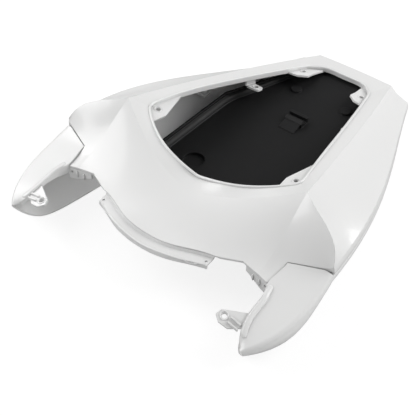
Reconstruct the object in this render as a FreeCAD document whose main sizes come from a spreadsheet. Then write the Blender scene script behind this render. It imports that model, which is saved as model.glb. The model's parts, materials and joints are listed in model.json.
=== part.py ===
import FreeCAD, Part
import math
import os
import Sketcher
from FreeCAD import Placement, Rotation, Vector

# Motorcycle tail fairing: a white tail cowl around the pillion seat opening, a white side panel on each
# side whose wing reaches forward, and a black undertray below the opening. Millimetres, +Z up. -Y is the
# front of the bike, +X its left side. The origin is on the floor, in the middle of the outline.

SIZES = (
    # Walls and gaps
    ("cowl_wall", 2.4),
    ("panel_wall", 2.4),
    ("seam_gap", 0.8),
    ("seat_gap", 0.3),
    # Rim around the seat opening: front corner, front dip, rear corner
    ("rim_corner_x", 128), ("rim_corner_y", -76), ("rim_corner_z", 106),
    ("rim_dip_y", -122), ("rim_dip_z", 69),
    ("rim_rear_x", 57), ("rim_rear_y", 234), ("rim_rear_z", 33),
    ("rim_bow", 4),
    ("rim_width", 17), ("rim_rear_width", 21.5), ("rim_fall", 2),
    ("rim_corner_fall", 8),
    ("rim_front_width", 20.5), ("rim_front_rise", 4.5),
    ("opening_chamfer_x", 30), ("opening_rear_width", 29),
    ("lip_depth", 6),
    # Shoulder, hip, waist and tail of the side ridge
    ("shoulder_x", 192), ("shoulder_y", -118.5), ("shoulder_z", 67),
    ("shoulder_swell", 8),
    ("hip_x", 184.5), ("hip_y", -48), ("hip_z", 68),
    ("waist_x", 150), ("waist_y", 68), ("waist_z", 48.5),
    ("tail_x", 84.5), ("tail_y", 235), ("tail_z", 17), ("tail_lip_z", 27), ("tail_bow", 2.5),
    ("side_hollow", 3.5), ("side_swell", 10),
    ("ridge_out", 1.4), ("ridge_drop", 9.5), ("tail_drop", 6), ("tail_seam_drop", 2),
    # Back rest face in front of the rim
    ("front_edge_y", -191), ("front_edge_z", 52.7), ("front_edge_rise", 1.8),
    ("knee_y", -137), ("knee_z", 64), ("knee_bow", 6),
    ("front_reach", -172), ("front_low", 53.5),
    # Seam between cowl and wing
    ("seam_mid_x", 147.6), ("seam_mid_y", -135.2), ("seam_mid_z", 60.5),
    ("seam_inner_x", 143.5), ("seam_inner_y", -165.5), ("seam_inner_z", 55),
    ("seam_corner_x", 108.8), ("seam_corner_y", -160.4),
    # Wing
    ("wing_tip_x", 168.5), ("wing_tip_y", -238.3), ("wing_tip_z", 26),
    ("wing_edge_x", 150.5), ("wing_edge_y", -190), ("wing_edge_z", 50),
    ("wing_out_x", 195.6), ("wing_out_y", -154), ("wing_out_z", 45),
    ("wing_band", 7), ("wing_valley", 2),
    ("wing_crease_in", 10), ("wing_crease_rise", 5), ("wing_swell", 6),
    ("wing_skirt", 5), ("curl_skirt", 13),
    # Bottom line and side wall of the side panels
    ("foot_wing_x", 141), ("foot_wing_y", -192), ("foot_wing_z", 1.5),
    ("foot_shoulder_x", 131), ("foot_waist_x", 118), ("foot_tail_x", 68),
    ("foot_flange", 18),
    ("panel_bulge", 11), ("panel_tail_bulge", 2),
    # Seat-side flange below the back rest face
    ("flange_half", 79), ("flange_reach", 12.8), ("flange_step", 4.5), ("flange_fall", 1.5),
    ("flange_edge", 5), ("flange_hold", 8), ("flange_hole_inset", 4), ("flange_hole_d", 3),
    # Fixing tabs in the seat opening
    ("tab_wall", 2.6), ("tab_hole_d", 6), ("tab_sink", 1.5),
    ("front_hole_x", 100), ("front_hole_y", -56), ("front_tab_x", 87.3), ("front_tab_end_y", -12),
    ("front_tab_start_x", 90),
    ("rear_hole_x", 45.5), ("rear_hole_y", 175), ("rear_tab_x", 33), ("rear_tab_start_y", 156),
    ("rear_tab_drop", 4),
    ("mid_hole_x", 71), ("mid_hole_y", 102), ("mid_tab_x", 63), ("mid_tab_width", 15), ("mid_tab_drop", 18),
    ("mid_web_inset", 8),
    # Wing tab and the ear below the seam
    ("wing_hole_x", 132.4), ("wing_hole_y", -221.6), ("wing_hole_z", 44),
    ("wing_tab_sink", 1.6), ("wing_rib", 1.6), ("wing_rib_height", 3),
    ("ear_start_x", 113), ("ear_flange", 12), ("ear_gap", 1.2), ("ear_depth", 16), ("ear_start_depth", 8),
    ("ear_hole_d", 3.4), ("ear_hole_drop", 5), ("ear_hole_inset", 5),
    # Undertray
    ("tray_wall", 2.4), ("tray_floor_z", 30), ("tray_lip_z", 40), ("tray_lip_width", 3),
    ("tray_side_flange", 12), ("tray_front_half", 62), ("tray_front_y", -104), ("tray_corner_y", -68),
    ("tray_side_y", 75), ("tray_rear_inset", 2), ("tray_rear_y", 172),
    ("tray_end_half", 38), ("tray_end_y", 213), ("tray_end_z", 33.5),
    ("tray_edge_gap", 5), ("tray_front_flange", 8),
    ("recess_x", 54), ("recess_y", -46), ("recess_d", 27), ("recess_depth", 4),
    ("dimple_x", 38.6), ("dimple_y", 150), ("dimple_d", 15), ("dimple_rise", 2.5),
    ("catch_y", 86), ("catch_width", 26), ("catch_length", 16), ("catch_rise", 9), ("catch_ramp", 5),
    ("catch_slot_width", 18), ("catch_slot_length", 6), ("catch_slot_depth", 5),
    # Screws and rivets
    ("screw_shank_d", 4), ("screw_head_d", 9), ("screw_head", 2.5), ("screw_length", 12),
    ("boss_d", 9), ("boss_hole_d", 4.2), ("screw_hole_d", 4.6),
    ("ledge_width", 14), ("ledge_reach", 24),
    ("hip_screw_y", -60), ("waist_screw_y", 70), ("tail_screw_y", 150),
    ("rivet_shank_d", 5), ("rivet_hole_d", 5.4), ("rivet_head_d", 11), ("rivet_head", 1.6),
    ("rivet_inset", 11.5),
    ("rivet_front_y", -40), ("rivet_mid_y", 45), ("rivet_rear_y", 140),
)

doc = FreeCAD.newDocument("tail_fairing")
sheet = doc.addObject("Spreadsheet::Sheet", "Sizes")
for row, (alias, value) in enumerate(SIZES, start=1):
    sheet.set("A%d" % row, alias)
    sheet.set("B%d" % row, str(value))
    sheet.setAlias("B%d" % row, alias)
doc.recompute()


def size(alias):
    return float(getattr(sheet, alias))


def along(start, end, share):
    return start + (end - start) * share


def even(count):
    return [index / (count - 1) for index in range(count)]


def signed_even(count):
    return [2 * part - 1 for part in even(count)]


def mirrored(point):
    return Vector(-point.x, point.y, point.z)


def spline(points):
    """A smooth curve through the points, evenly spaced in its parameter."""
    curve = Part.BSplineCurve()
    curve.interpolate(Points=points, Parameters=even(len(points)))
    return curve


def guide(points, shares):
    """A smooth guide line through the points at the given shares of its length."""
    curve = Part.BSplineCurve()
    curve.interpolate(Points=points, Parameters=shares)
    return curve.value


# Moulded shells: skins of constant wall made from grids of points. Each grid is given by rows and
# columns such that the way down the rows crossed with the way across the columns points outwards

def smooth_surface(grid):
    """A smooth surface through a grid of points. Its border depends on the border's points alone."""
    rows = [spline(row) for row in grid]
    columns = [spline(list(column)) for column in zip(*(row.getPoles() for row in rows))]
    poles = [list(line) for line in zip(*(column.getPoles() for column in columns))]
    surface = Part.BSplineSurface()
    surface.buildFromPolesMultsKnots(
        poles, columns[0].getMultiplicities(), rows[0].getMultiplicities(),
        columns[0].getKnots(), rows[0].getKnots(), False, False, columns[0].Degree, rows[0].Degree)
    return surface


def key_of(point):
    return (round(point.x, 3) + 0.0, round(point.y, 3) + 0.0, round(point.z, 3) + 0.0)


def grid_normals(grid):
    last_row, last_column = len(grid) - 1, len(grid[0]) - 1
    normals = []
    for i, row in enumerate(grid):
        normals.append([])
        for j, point in enumerate(row):
            down = grid[min(i + 1, last_row)][j] - grid[max(i - 1, 0)][j]
            across = grid[i][min(j + 1, last_column)] - grid[i][max(j - 1, 0)]
            normals[-1].append(down.cross(across).normalize())
    return normals


def is_border(grid, i, j):
    return i in (0, len(grid) - 1) or j in (0, len(grid[0]) - 1)


def border_shifts(grids, wall, rounds=8):
    """How far each border point moves so that the wall is kept on every face that meets there. The few
    rounds start from the mean normal, so faces that nearly agree never push the point far sideways."""
    normals = {}
    for grid in grids:
        for i, line in enumerate(grid_normals(grid)):
            for j, normal in enumerate(line):
                if is_border(grid, i, j):
                    normals.setdefault(key_of(grid[i][j]), []).append(normal)
    shifts = {}
    for key, faces in normals.items():
        shift = sum(faces, Vector(0, 0, 0)).normalize() * wall
        for _ in range(rounds):
            for normal in faces:
                shift = shift + normal * (wall - shift.dot(normal)) * 0.5
        shifts[key] = shift
    return shifts


def inner_grid(grid, shifts, wall):
    """The grid moved in by the wall. Between the borders the sideways shift fades evenly across."""
    last_row, last_column = len(grid) - 1, len(grid[0]) - 1
    moved = []
    for i, normals in enumerate(grid_normals(grid)):
        moved.append([])
        for j, normal in enumerate(normals):
            def edge(row, column):
                return shifts[key_of(grid[row][column])]
            if is_border(grid, i, j):
                shift = edge(i, j)
            else:
                u, v = i / last_row, j / last_column
                shift = (along(edge(0, j), edge(last_row, j), u) + along(edge(i, 0), edge(i, last_column), v)
                         - along(along(edge(0, 0), edge(last_row, 0), u),
                                 along(edge(0, last_column), edge(last_row, last_column), u), v))
                shift = shift + normal * (wall - shift.dot(normal))
            moved[-1].append(grid[i][j] - shift)
    return moved


def border_lines(grid):
    return (list(grid[0]), list(grid[-1]), [row[0] for row in grid], [row[-1] for row in grid])


def moulded_shell(grids, wall):
    """A moulding of even wall: outer skin, inner skin and the strips that close its free edges."""
    shifts = border_shifts(grids, wall)
    faces = []
    borders = {}
    for outer in grids:
        inner = inner_grid(outer, shifts, wall)
        faces.append(smooth_surface(outer).toShape())
        faces.append(smooth_surface(inner).toShape())
        for side_out, side_in in zip(border_lines(outer), border_lines(inner)):
            name = frozenset(key_of(point) for point in side_out)
            borders.setdefault(name, []).append((side_out, side_in))
    for sides in borders.values():
        if len(sides) == 1:
            faces.append(smooth_surface(sides[0]).toShape())
    shell = Part.makeShell(faces)
    shell.sewShape()
    solid = Part.makeSolid(shell)
    if solid.Volume < 0:
        solid.reverse()
    return solid


def mirrored_grid(grid):
    return [[mirrored(point) for point in reversed(row)] for row in grid]


def both_sides(grid):
    return [grid, mirrored_grid(grid)]


def grid_of(lines):
    """Rows across the skin from lines that run down it."""
    return [list(row) for row in zip(*lines)]


# Guide lines of the left half, all for x above zero

RIM_CORNER = Vector(size("rim_corner_x"), size("rim_corner_y"), size("rim_corner_z"))
RIM_REAR = Vector(size("rim_rear_x"), size("rim_rear_y"), size("rim_rear_z"))
SHOULDER = Vector(size("shoulder_x"), size("shoulder_y"), size("shoulder_z"))
HIP = Vector(size("hip_x"), size("hip_y"), size("hip_z"))
WAIST = Vector(size("waist_x"), size("waist_y"), size("waist_z"))
TAIL = Vector(size("tail_x"), size("tail_y"), size("tail_z"))
SEAM_MID = Vector(size("seam_mid_x"), size("seam_mid_y"), size("seam_mid_z"))
SEAM_INNER = Vector(size("seam_inner_x"), size("seam_inner_y"), size("seam_inner_z"))
SEAM_OUTER = SHOULDER + Vector(-0.6, 0.6, -4.5)
WING_TIP = Vector(size("wing_tip_x"), size("wing_tip_y"), size("wing_tip_z"))
WING_EDGE = Vector(size("wing_edge_x"), size("wing_edge_y"), size("wing_edge_z"))
WING_OUT = Vector(size("wing_out_x"), size("wing_out_y"), size("wing_out_z"))
RIDGE_ROLL = Vector(size("ridge_out") * 0.95, 0, -size("ridge_drop"))
PANEL_TOP = RIDGE_ROLL - Vector(0, 0, size("seam_gap"))


def crease(share):
    """Outer edge of the rim, from the front corner to the rear corner."""
    bow = size("rim_bow") * 4 * share * (1 - share)
    return along(RIM_CORNER, RIM_REAR, share) + Vector(bow, 0, bow / 2)


def side_lip(share):
    """Side edge of the seat opening, a rim's width inside the crease."""
    width = along(size("rim_width"), size("rim_rear_width"), share)
    fall = size("rim_corner_fall") * max(0.0, 1 - share / 0.35) ** 2 + size("rim_fall") * share
    start = size("rim_corner_y") + size("rim_width") * 0.9
    end = size("rim_rear_y") - size("rim_rear_x") * 0.82
    there = crease((along(start, end, share) - RIM_CORNER.y) / (RIM_REAR.y - RIM_CORNER.y))
    return there - Vector(width, 0, fall)


def lip_at(y):
    """The point of the opening's side edge at the given place along the bike."""
    first, last = side_lip(0).y, side_lip(1).y
    return side_lip((y - first) / (last - first))


def rim_front(share):
    """Front edge of the rim, from the dip on the centre line to the front corner."""
    rise = share ** 1.65
    return Vector(RIM_CORNER.x * share, along(size("rim_dip_y"), RIM_CORNER.y, rise),
                  along(size("rim_dip_z"), RIM_CORNER.z, rise))


def front_lip(share):
    """Front edge of the seat opening, from the centre line to the opening's front corner."""
    corner = side_lip(0)
    return Vector(corner.x * share,
                  along(size("rim_dip_y") + size("rim_front_width"), corner.y, share ** 2.5),
                  along(size("rim_dip_z") + size("rim_front_rise"), corner.z, share ** 0.85))


def rear_lip(share):
    """Rear edge of the seat opening, from the centre line round its chamfer to the side edge."""
    corner = side_lip(1)
    chamfer_x = size("opening_chamfer_x")
    rear_y = size("rim_rear_y") - size("opening_rear_width")
    x = corner.x * share
    past = max(0.0, (x - chamfer_x) / (corner.x - chamfer_x))
    y = along(rear_y, corner.y, past)
    slope = (corner.z - size("rim_rear_z")) / (size("rim_rear_y") - corner.y)
    return Vector(x, y, size("rim_rear_z") + slope * (size("rim_rear_y") - y))


SWELL = size("shoulder_swell")
shoulder_edge = guide((RIM_CORNER, along(RIM_CORNER, SHOULDER, 0.4) + Vector(0.5, 0, 1) * SWELL,
                       along(RIM_CORNER, SHOULDER, 0.75) + Vector(0.8, 0.3, 1) * SWELL, SHOULDER),
                      (0, 0.4, 0.75, 1))
ridge = guide((SHOULDER, HIP, WAIST, TAIL), (0, 0.2, 0.53, 1))

SIDE_STATIONS, SIDE_ROWS, FACE_ROWS = 6, 4, 4
FRONT_STATIONS, REAR_STATIONS = 9, 5


def ridge_roll(share):
    """Rows that roll the side face over at its ridge, down to the seam with the side panel."""
    return [ridge(share) + Vector(size("ridge_out") * math.sin(math.pi * 0.6 * part), 0,
                                  -size("ridge_drop") * part) for part in even(FACE_ROWS)]


def side_row(share):
    """One line across the side face, from the rim's crease to the ridge."""
    if share == 0:
        return [shoulder_edge(part) for part in even(SIDE_ROWS)]
    start, end = crease(share), ridge(share)
    chord = end - start
    outward = Vector(-chord.z, 0, chord.x).normalize()
    near_front = max(0.0, 1 - share / 0.3) ** 2
    line = []
    for part in even(SIDE_ROWS):
        hollow = -size("side_hollow") * math.sin(math.pi * part) * (1 - part * 0.6)
        full = size("side_swell") * math.sin(math.pi * part) * (0.6 + part * 0.4)
        line.append(start + chord * part + outward * along(hollow, full, near_front))
    return line


def lip_pair(point):
    return [point - Vector(0, 0, size("lip_depth")), point]


def signed(function, share):
    point = function(abs(share))
    return point if share >= 0 else mirrored(point)


def signed_line(function, share):
    line = function(abs(share))
    return line if share >= 0 else [mirrored(point) for point in line]


KNEE_CORNER = Vector(RIM_CORNER.x + 2.5, size("knee_y"), size("knee_z"))
FOOT_CORNER = Vector(RIM_CORNER.x + 4, size("front_reach"), size("front_low"))
FRONT_EDGE = Vector(0, size("front_edge_y"), size("front_edge_z"))
KNEE_MID = along(Vector(0, size("rim_dip_y"), size("rim_dip_z") - 2.5), FRONT_EDGE, 0.55)

SHOULDER_START = 0.6
SEAM_FOOT = SEAM_INNER + Vector(11.5, 0, -3)
KNEE_SIDE = along(KNEE_MID, KNEE_CORNER, 0.6) + Vector(0, -size("knee_bow"), -1.5)
EDGE_SIDE = FRONT_EDGE + Vector(44, 6.5, size("front_edge_rise"))
FLANGE_END = FRONT_EDGE + Vector(size("flange_half"), 20.5, 0.8)
knee_line = guide((mirrored(KNEE_SIDE), KNEE_MID, KNEE_SIDE, KNEE_CORNER, SEAM_MID,
                   along(SEAM_MID, SEAM_OUTER, 0.5), SEAM_OUTER), (-0.36, 0, 0.36, SHOULDER_START, 0.72, 0.86, 1))
foot_line = guide((mirrored(EDGE_SIDE), FRONT_EDGE, EDGE_SIDE, FLANGE_END, FOOT_CORNER, SEAM_FOOT,
                   along(SEAM_FOOT, SHOULDER + RIDGE_ROLL, 0.55), SHOULDER + RIDGE_ROLL),
                  (-0.2, 0, 0.2, 0.36, SHOULDER_START, 0.72, 0.86, 1))


def front_knee(share):
    return knee_line(share * SHOULDER_START)


def front_foot(share):
    return foot_line(share * SHOULDER_START)


def shoulder_knee(share):
    return knee_line(along(SHOULDER_START, 1, share))


def shoulder_foot(share):
    return foot_line(along(SHOULDER_START, 1, share))


def face_line(top, knee, foot):
    """One line down the back rest face: straight to the knee, flatter below it."""
    return [top, along(top, knee, 0.5), knee, foot]


def tail_lip(share):
    """Upper edge of the tail light opening, from the centre line to the tail end of the ridge."""
    return Vector(TAIL.x * share, TAIL.y + size("tail_bow") * (1 - share * share),
                  along(size("tail_lip_z"), TAIL.z, share ** 2))


def rear_rim(share):
    bow = size("tail_bow") * 0.6 * (1 - share * share)
    return Vector(RIM_REAR.x * share, RIM_REAR.y + bow, RIM_REAR.z)


def rear_face_line(share):
    if share == 1:
        return side_row(1)
    return [along(rear_rim(share), tail_lip(share), part) for part in even(SIDE_ROWS)]


def rear_roll_line(share):
    if share == 1:
        return ridge_roll(1)
    drop = along(size("tail_drop"), size("ridge_drop"), share ** 3)
    return [tail_lip(share) - Vector(0, 0, drop * part) for part in even(FACE_ROWS)]


def cowl_skin():
    sides = even(SIDE_STATIONS)
    fronts = signed_even(FRONT_STATIONS)
    rears = list(reversed(signed_even(REAR_STATIONS)))
    shoulder = [face_line(shoulder_edge(s), shoulder_knee(s), shoulder_foot(s)) for s in even(SIDE_ROWS)]
    shoulder[-1] = ridge_roll(0)
    grids = []
    grids += both_sides(grid_of([lip_pair(side_lip(s)) for s in sides]))
    grids += both_sides(grid_of([[side_lip(s), crease(s)] for s in sides]))
    grids += both_sides(grid_of([side_row(s) for s in sides]))
    grids += both_sides(grid_of([ridge_roll(s) for s in sides]))
    grids += both_sides(grid_of(shoulder))
    grids.append(grid_of([lip_pair(signed(front_lip, s)) for s in fronts]))
    grids.append(grid_of([[signed(front_lip, s), signed(rim_front, s)] for s in fronts]))
    grids.append(grid_of([face_line(signed(rim_front, s), signed(front_knee, s), signed(front_foot, s))
                          for s in fronts]))
    grids.append(grid_of([lip_pair(signed(rear_lip, s)) for s in rears]))
    grids.append(grid_of([[signed(rear_lip, s), signed(rear_rim, s)] for s in rears]))
    grids.append(grid_of([signed_line(rear_face_line, s) for s in rears]))
    grids.append(grid_of([signed_line(rear_roll_line, s) for s in rears]))
    return moulded_shell(grids, size("cowl_wall"))


def seat_flange():
    """The stepped flange in front of the back rest face, with its turned-down front edge."""
    half = size("flange_half") / FOOT_CORNER.x
    lines = []
    for share in signed_even(FRONT_STATIONS):
        foot = signed(front_foot, share * half)
        root = Vector(0, size("cowl_wall") * 3, size("cowl_wall") * 0.4)
        sink = Vector(0, 0, -size("cowl_wall") * 0.7)
        step = Vector(0, -1.5, -size("flange_step"))
        edge = Vector(0, -size("flange_reach"), -size("flange_step") - size("flange_fall"))
        lines.append([foot + root + sink, foot + sink, foot + step, foot + edge,
                      foot + edge - Vector(0, 0.5, size("flange_edge"))])
    rows = grid_of(lines)
    return moulded_shell([rows[i:i + 2] for i in range(len(rows) - 1)], size("cowl_wall"))


# Document objects

def feature(name, shape):
    """A part whose skins no primitive or sketch can carry."""
    made = doc.addObject("Part::Feature", name)
    made.Shape = shape
    made.Placement = Placement()
    return made


def primitive(kind, name, base, axis=None, **dims):
    made = doc.addObject(kind, name)
    for key, expression in dims.items():
        made.setExpression(key, expression)
    made.Placement = Placement(base, Rotation(Vector(0, 0, 1), axis or Vector(0, 0, 1)))
    return made


def hole(name, middle, axis, diameter, depth=14):
    """A round cutter whose middle is at the given point."""
    axis = Vector(axis).normalize()
    cutter = primitive("Part::Cylinder", name, middle - axis * depth / 2, axis,
                       Radius="Sizes.%s / 2" % diameter)
    cutter.Height = depth
    return cutter


def fused(name, parts):
    made = doc.addObject("Part::MultiFuse", name)
    made.Shapes = parts
    return made


def cut(name, base, tool):
    made = doc.addObject("Part::Cut", name)
    made.Base = base
    made.Tool = tool
    return made


def reading(words):
    """Expression and value of a signed sum of sizes, such as '- tray_end_half + tray_wall'."""
    terms, value, sign = [], 0.0, "+"
    for word in words.split():
        if word in ("+", "-"):
            sign = word
        else:
            terms.append("%s Sizes.%s" % (sign, word))
            value += size(word) if sign == "+" else -size(word)
            sign = "+"
    return "0 " + " ".join(terms), value


def pin(sketch, kind, geometry, point, words):
    expression, value = reading(words)
    number = sketch.addConstraint(Sketcher.Constraint(kind, -1, 1, geometry, point, value))
    sketch.setExpression("Constraints[%d]" % number, expression)


def outline_sketch(owner, name, corners, level="", turned=None):
    """A closed outline whose corners are pinned by sums of sizes, at a level that is such a sum too."""
    add = owner.newObject if owner else doc.addObject
    sketch = add("Sketcher::SketchObject", name)
    sketch.Placement = Placement(Vector(0, 0, 0), turned or Rotation())
    if level:
        sketch.setExpression("Placement.Base.z", reading(level)[0])
    places = [Vector(reading(across)[1], reading(up)[1], 0) for across, up in corners]
    count = len(corners)
    for index in range(count):
        sketch.addGeometry(Part.LineSegment(places[index], places[(index + 1) % count]), False)
    for index in range(count):
        sketch.addConstraint(Sketcher.Constraint("Coincident", index, 2, (index + 1) % count, 1))
    for index, (across, up) in enumerate(corners):
        pin(sketch, "DistanceX", index, 1, across)
        pin(sketch, "DistanceY", index, 1, up)
    return sketch


def circle_sketch(owner, name, centres, diameter, level):
    sketch = owner.newObject("Sketcher::SketchObject", name)
    sketch.setExpression("Placement.Base.z", reading(level)[0])
    for index, (across, up) in enumerate(centres):
        place = Vector(reading(across)[1], reading(up)[1], 0)
        sketch.addGeometry(Part.Circle(place, Vector(0, 0, 1), reading(diameter)[1] / 2), False)
        pin(sketch, "DistanceX", index, 3, across)
        pin(sketch, "DistanceY", index, 3, up)
        expression, value = reading(diameter)
        number = sketch.addConstraint(Sketcher.Constraint("Diameter", index, value))
        sketch.setExpression("Constraints[%d]" % number, expression)
    return sketch


def opposite(words):
    """The same sum of sizes with every sign turned."""
    turned_signs = {"+": "-", "-": "+"}
    text = " ".join(turned_signs.get(word, word) for word in words.split())
    return text if text.startswith("+") else "- " + text


def both(*corners):
    """The corners of the left half, then those of the right half in the reverse order."""
    return list(corners) + [(opposite(across), up) for across, up in reversed(corners)]


def pad(body, sketch, words, reverse=False, middle=False):
    made = body.newObject("PartDesign::Pad", sketch.Name + "_pad")
    made.Profile = sketch
    made.setExpression("Length", reading(words)[0])
    made.Reversed = reverse
    made.Midplane = middle
    return made


def pocket(body, sketch, words, reverse=False):
    made = body.newObject("PartDesign::Pocket", sketch.Name + "_pocket")
    made.Profile = sketch
    made.setExpression("Length", reading(words)[0])
    made.Reversed = reverse
    return made


# Plates and bosses

def level_on(plane, x, y):
    """Height at the given place of the plane through three points."""
    first, second, third = plane
    normal = (second - first).cross(third - first)
    return first.z - (normal.x * (x - first.x) + normal.y * (y - first.y)) / normal.z


def tilted_plate(plane, outline, wall, radius):
    """A plate with rounded corners whose top lies in the plane. The outline is in plan."""
    corners = [Vector(x, y, level_on(plane, x, y)) for x, y in outline]
    normal = (plane[1] - plane[0]).cross(plane[2] - plane[0]).normalize()
    down = normal * (-wall if normal.z > 0 else wall)
    plate = Part.Face(Part.makePolygon(corners + corners[:1])).extrude(down)
    upright = [edge for edge in plate.Edges
               if abs((edge.lastVertex().Point - edge.firstVertex().Point).cross(down).Length) < 1e-6]
    return plate.makeFillet(radius, upright)


def flipped(point, side):
    return Vector(point.x * side, point.y, point.z)


def share_at(line, y):
    """The share of a guide line at which it passes the given place along the bike."""
    low, high = 0.0, 1.0
    for _ in range(40):
        middle = (low + high) / 2
        low, high = (middle, high) if line(middle).y < y else (low, middle)
    return low


def foot_x(y):
    """Half width of the bottom line of the side panels: a smooth curve through its three widths."""
    first, second, third = size("shoulder_y"), size("waist_y"), TAIL.y
    return (size("foot_shoulder_x") * (y - second) * (y - third) / ((first - second) * (first - third))
            + size("foot_waist_x") * (y - first) * (y - third) / ((second - first) * (second - third))
            + size("foot_tail_x") * (y - first) * (y - second) / ((third - first) * (third - second)))


def wall_point(top, bottom, bulge, part):
    """A point of the side wall, which drops steeply from the ridge and then runs in under it."""
    chord = bottom - top
    outward = Vector(-chord.z, 0, chord.x).normalize()
    return top + chord * part + outward * (bulge * math.sin(math.pi * part ** 0.6))


def side_wall(share, part):
    top = ridge(share) + PANEL_TOP - Vector(0, 0, size("tail_seam_drop") * share ** 6)
    bottom = Vector(foot_x(top.y), top.y, 0)
    return wall_point(top, bottom, along(size("panel_bulge"), size("panel_tail_bulge"), share), part)


WALL_PARTS = (0, 0.12, 0.35, 0.66, 1)
LEDGE_PART = 0.16


def ledge_corner(y):
    """Where a ledge of the side panel meets the outside of its wall."""
    return side_wall(share_at(ridge, y), LEDGE_PART)


def screw_place(y):
    """Middle of the top of the ledge hole, for the screw at the given place along the bike."""
    corner = ledge_corner(y)
    return Vector(corner.x - size("ledge_reach") + size("ledge_width") / 2, y, corner.z)


SCREW_PLACES = [screw_place(size(name)) for name in ("hip_screw_y", "waist_screw_y", "tail_screw_y")]
RIVET_PLACES = [Vector(foot_x(size(name)) - size("rivet_inset"), size(name), 0)
                for name in ("rivet_front_y", "rivet_mid_y", "rivet_rear_y")]
SIDES = (("left", 1), ("right", -1))


# Tail cowl

def front_tab(side):
    """Large triangular tab in the front corner of the opening."""
    corner, rear = side_lip(0), lip_at(size("front_tab_end_y"))
    start = front_lip(size("front_tab_start_x") / corner.x)
    sink, inside = Vector(0, 0, size("tab_sink")), size("cowl_wall") / 2
    plane = [flipped(point, side) for point in (corner - sink, start - sink, rear - sink * 2.5)]
    outline = [(corner.x + inside, corner.y), (start.x, start.y - inside),
               (size("front_tab_x"), size("rim_corner_y") + size("rim_front_width")),
               (rear.x + inside, rear.y)]
    return tilted_plate(plane, [(x * side, y) for x, y in outline], size("tab_wall"), 1)


def tongue(side, y, width, root_x, end_x, root_z, end_z, slope):
    """A tab that reaches inwards from the edge of the opening, with a rounded end."""
    half = width / 2
    plane = [Vector(root_x * side, y - half, root_z + half * slope),
             Vector(root_x * side, y + half, root_z - half * slope), Vector(end_x * side, y, end_z)]
    outline = [(root_x, y - half), (end_x, y - half * 0.8), (end_x, y + half * 0.8), (root_x, y + half)]
    plate = tilted_plate(plane, [(x * side, y) for x, y in outline], size("tab_wall"), half * 0.5)
    return plate


def rim_slope(y):
    return (lip_at(y - 1).z - lip_at(y + 1).z) / 2


def rear_tab(side):
    """Wide rounded tab that fills the rear corner of the opening."""
    corner, rear = side_lip(1), rear_lip(size("opening_chamfer_x") / side_lip(1).x)
    first = lip_at(size("rear_tab_start_y"))
    sink, inside = Vector(0, 0, size("rear_tab_drop")), size("cowl_wall") * 0.6
    plane = [flipped(point - sink, side) for point in (first, corner, rear)]
    nose_x, hole_y = size("rear_tab_x"), size("rear_hole_y")
    outline = [(first.x + inside, first.y), (along(nose_x, first.x, 0.45), first.y + inside),
               (nose_x, hole_y - 8), (nose_x, hole_y + 6), (rear.x, rear.y + inside),
               (corner.x + inside, corner.y + inside)]
    return tilted_plate(plane, [(x * side, y) for x, y in outline], size("tab_wall"), 2)


def mid_tab(side):
    lip = lip_at(size("mid_hole_y"))
    root_z = lip.z - size("mid_tab_drop")
    root_x = lip.x + size("mid_web_inset") + size("tab_wall")
    return tongue(side, size("mid_hole_y"), size("mid_tab_width"), root_x,
                  size("mid_tab_x"), root_z, root_z, rim_slope(lip.y))


def mid_web(side):
    """Upright web that carries the middle tab below the rim."""
    lip = lip_at(size("mid_hole_y"))
    half, slope = size("mid_tab_width") / 2, rim_slope(lip.y)
    top, foot = lip.z - size("cowl_wall") * 0.4, lip.z - size("mid_tab_drop") - size("tab_wall") / 2
    corners = [Vector((lip_at(lip.y + off).x + size("mid_web_inset")) * side, lip.y + off, z - off * slope)
               for off, z in ((-half, top), (half, top), (half, foot), (-half, foot))]
    face = Part.Face(Part.makePolygon(corners + corners[:1]))
    return face.extrude(Vector(size("cowl_wall") * side, 0, 0))


def skin_cover(side):
    """Space above the middle of the side skin's wall, which keeps bosses inside the wall."""
    rows = grid_of([side_row(share) for share in even(SIDE_STATIONS)])
    rows = rows if side > 0 else mirrored_grid(rows)
    middle = smooth_surface(rows).toShape()
    middle.translate(Vector(0, 0, -size("cowl_wall") * 0.5))
    return middle.extrude(Vector(0, 0, 60))


def edge_cut(word, side, corners):
    """An upright cutter from the floor to the rim whose outline follows the seam."""
    block = doc.addObject("Part::Extrusion", word + "_seam_cut")
    block.Base = outline_sketch(None, word + "_seam_line", [(across if side > 0 else opposite(across), up)
                                                           for across, up in corners])
    block.Dir = Vector(0, 0, 1)
    block.DirMode = "Custom"
    block.setExpression("LengthFwd", "Sizes.rim_corner_z")
    block.Solid = True
    return block


SEAM_LINE = (("flange_half", "front_reach"), ("seam_corner_x", "seam_corner_y"),
             ("seam_inner_x", "seam_inner_y"), ("seam_mid_x", "seam_mid_y"),
             ("shoulder_x", "shoulder_y + seam_gap + seam_gap"),
             ("wing_out_x + foot_flange", "shoulder_y + seam_gap + seam_gap"),
             ("wing_out_x + foot_flange", "wing_tip_y"), ("flange_half", "wing_tip_y"))


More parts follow.
